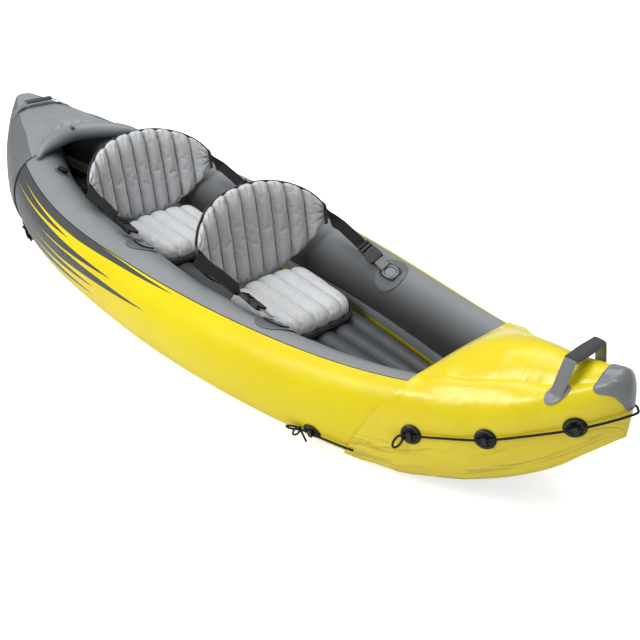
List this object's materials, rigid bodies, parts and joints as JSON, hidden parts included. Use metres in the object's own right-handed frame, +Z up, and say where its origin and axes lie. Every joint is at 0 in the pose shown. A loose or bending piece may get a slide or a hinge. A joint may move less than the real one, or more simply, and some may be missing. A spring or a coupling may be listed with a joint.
{
  "type": "tandem kayak",
  "caption": "Inflatable kayak with side chambers, beam floor, covered bow and stern, strapped seats with folding backrests, carry handles, grab lines, valves and a skeg.",
  "frame": {"origin": "on the ground under the middle of the hull's length and beam", "axes": "+X to the bow, +Y to port, +Z up"},
  "size_m": [3.1448, 0.906, 0.5028],
  "materials": {
    "hull_skin": "yellow and dark grey coated fabric, satin",
    "yellow_skin": "yellow coated fabric, glossy",
    "bottom_skin": "dark grey coated fabric, matte",
    "floor_skin": "dark grey coated fabric, satin",
    "grey_skin": "grey coated fabric, satin",
    "grey_webbing": "woven webbing",
    "grip_wrap": "wrapped webbing grip",
    "seat_skin": "pale grey coated fabric, satin",
    "seat_backing": "black woven backing",
    "black_webbing": "black woven webbing",
    "rope": "black braided rope",
    "grey_plastic": "moulded plastic, satin",
    "black_plastic": "moulded plastic, satin"
  },
  "bodies": {
    "hull": {"starboard_chamber": "hull_skin", "port_chamber": "hull_skin", "bottom_sheet": "bottom_skin", "beam_floor": "floor_skin", "bow_cover": "yellow_skin", "stern_cover": "grey_skin", "stern_cowl": "grey_skin", "nose_patch": "grey_skin", "bow_handle_discs": "grey_skin", "bow_handle_strap": "grey_webbing", "stern_handle_discs": "grey_skin", "stern_handle_strap": "grey_webbing", "bow_line_anchors": "black_plastic", "stern_line_anchors": "black_plastic", "bow_grab_line": "rope", "stern_grab_line": "rope", "bow_tie_anchors": "black_plastic", "stern_tie_anchors": "black_plastic", "bow_tie_cords": "rope", "stern_tie_cords": "rope", "front_cushion": "seat_skin", "front_seat_base": "seat_backing", "front_starboard_strap": "black_webbing", "front_port_strap": "black_webbing", "front_buckle_housings": "black_plastic", "front_strap_tabs": "grey_webbing", "front_strap_patches": "grey_plastic", "rear_cushion": "seat_skin", "rear_seat_base": "seat_backing", "rear_starboard_strap": "black_webbing", "rear_port_strap": "black_webbing", "rear_buckle_housings": "black_plastic", "rear_strap_tabs": "grey_webbing", "rear_strap_patches": "grey_plastic", "starboard_valve": "grey_plastic", "port_valve": "grey_plastic", "floor_valve": "grey_plastic", "cowl_valve": "grey_plastic", "skeg_shoe": "black_plastic"},
    "front_back": {"front_backrest": "seat_skin", "front_backrest_shell": "seat_backing"},
    "front_starboard_clip": {"front_starboard_tongue": "black_plastic"},
    "front_port_clip": {"front_port_tongue": "black_plastic"},
    "rear_back": {"rear_backrest": "seat_skin", "rear_backrest_shell": "seat_backing"},
    "rear_starboard_clip": {"rear_starboard_tongue": "black_plastic"},
    "rear_port_clip": {"rear_port_tongue": "black_plastic"},
    "bow_grip": {"bow_handle_grip": "grip_wrap"},
    "stern_grip": {"stern_handle_grip": "grip_wrap"},
    "starboard_cap": {"starboard_valve_cap": "black_plastic"},
    "port_cap": {"port_valve_cap": "black_plastic"},
    "floor_cap": {"floor_valve_cap": "black_plastic"},
    "cowl_plug": {"cowl_valve_plug": "grey_plastic"},
    "fin": {"skeg": "black_plastic"}
  },
  "joints": [
    {"name": "front_back_fold", "type": "hinge", "parent": "hull", "child": "front_back", "pos_m": [0.235, 0, 0.207], "axis": [0, 1, 0], "range_deg": [0, 18], "deforming": ["front_starboard_strap", "front_port_strap"]},
    {"name": "rear_back_fold", "type": "hinge", "parent": "hull", "child": "rear_back", "pos_m": [-0.445, 0, 0.207], "axis": [0, 1, 0], "range_deg": [0, 18], "deforming": ["rear_starboard_strap", "rear_port_strap"]},
    {"name": "front_starboard_clip_release", "type": "slide", "parent": "hull", "child": "front_starboard_clip", "axis": [-0.9685, -0.0934, 0.2308], "range_m": [0, 0.028], "deforming": ["front_starboard_strap"]},
    {"name": "front_port_clip_release", "type": "slide", "parent": "hull", "child": "front_port_clip", "axis": [-0.9685, 0.0934, 0.2308], "range_m": [0, 0.028], "deforming": ["front_port_strap"]},
    {"name": "rear_starboard_clip_release", "type": "slide", "parent": "hull", "child": "rear_starboard_clip", "axis": [-0.9714, -0.0256, 0.2362], "range_m": [0, 0.028], "deforming": ["rear_starboard_strap"]},
    {"name": "rear_port_clip_release", "type": "slide", "parent": "hull", "child": "rear_port_clip", "axis": [-0.9714, 0.0256, 0.2362], "range_m": [0, 0.028], "deforming": ["rear_port_strap"]},
    {"name": "bow_grip_lift", "type": "slide", "parent": "hull", "child": "bow_grip", "axis": [0, 0, 1], "range_m": [-0.012, 0.01], "deforming": ["bow_handle_strap"]},
    {"name": "stern_grip_lift", "type": "slide", "parent": "hull", "child": "stern_grip", "axis": [0, 0, 1], "range_m": [-0.012, 0.01], "deforming": ["stern_handle_strap"]},
    {"name": "starboard_cap_turn", "type": "hinge", "parent": "hull", "child": "starboard_cap", "pos_m": [-0.79, -0.19197, 0.29216], "axis": [0.1878, 0.5159, 0.8358], "range_deg": [0, 540]},
    {"name": "port_cap_turn", "type": "hinge", "parent": "hull", "child": "port_cap", "pos_m": [-0.79, 0.19197, 0.29216], "axis": [0.1878, -0.5159, 0.8358], "range_deg": [0, 540]},
    {"name": "floor_cap_turn", "type": "hinge", "parent": "hull", "child": "floor_cap", "pos_m": [-0.9204, -0.05, 0.11689], "axis": [0, 0, 1], "range_deg": [0, 540]},
    {"name": "cowl_plug_pull", "type": "slide", "parent": "hull", "child": "cowl_plug", "axis": [0.5736, 0, 0.8192], "range_m": [0, 0.008]},
    {"name": "fin_slide", "type": "slide", "parent": "hull", "child": "fin", "axis": [0.9064, 0, 0.4225], "range_m": [0, 0.06]}
  ]
}
